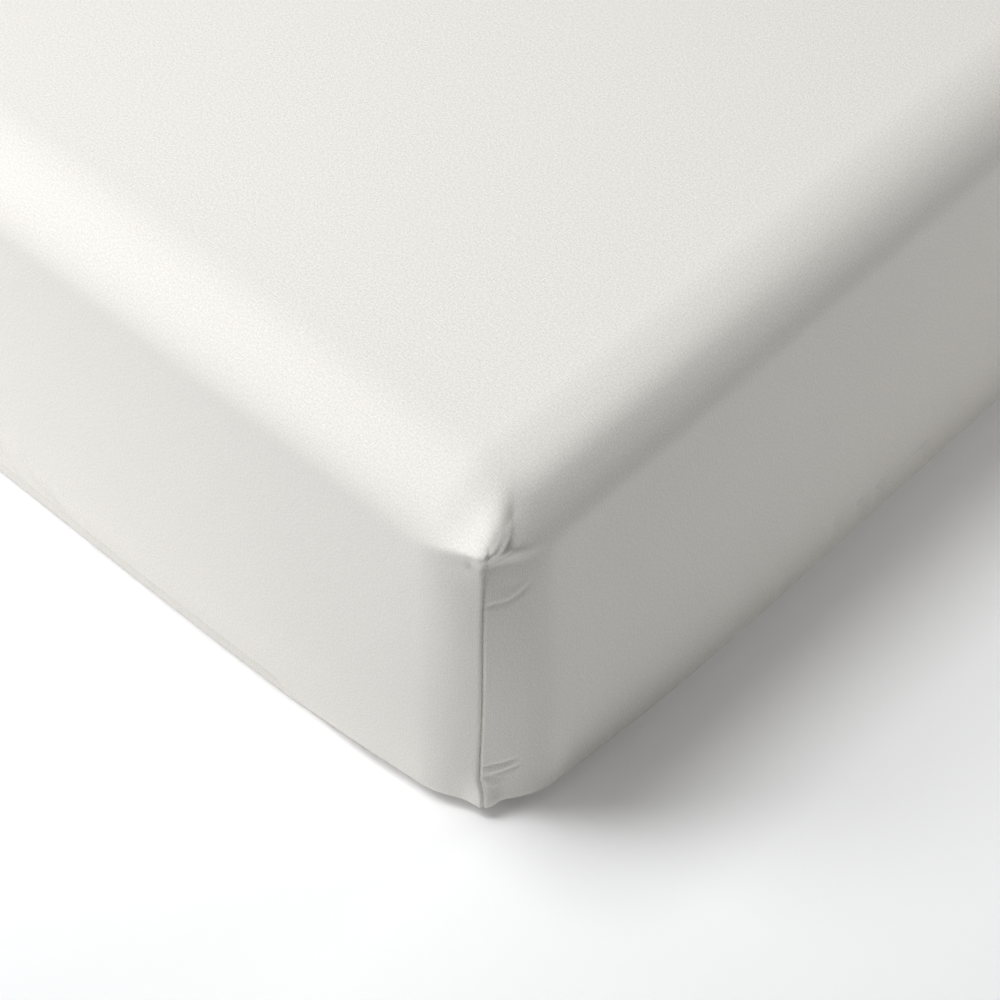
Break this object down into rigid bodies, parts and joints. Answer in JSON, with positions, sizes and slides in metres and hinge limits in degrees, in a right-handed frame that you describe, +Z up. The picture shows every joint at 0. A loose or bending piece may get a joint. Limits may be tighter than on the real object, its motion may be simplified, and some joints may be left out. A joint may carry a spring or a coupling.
{
  "type": "fitted sheet on a mattress",
  "caption": "Off-white cotton fitted sheet stretched over a plain single mattress, with sewn box corners and its hem drawn in underneath.",
  "frame": {"origin": "on the floor under the middle of the mattress", "axes": "+X across the mattress, +Y along it, +Z up"},
  "size_m": [0.9, 2, 0.25],
  "materials": {
    "sheet_cotton": "plain off-white woven cotton, matt",
    "mattress_ticking": "plain pale woven cover, matt"
  },
  "bodies": {
    "root": {"fitted_sheet": "sheet_cotton", "mattress": "mattress_ticking"}
  },
  "joints": []
}
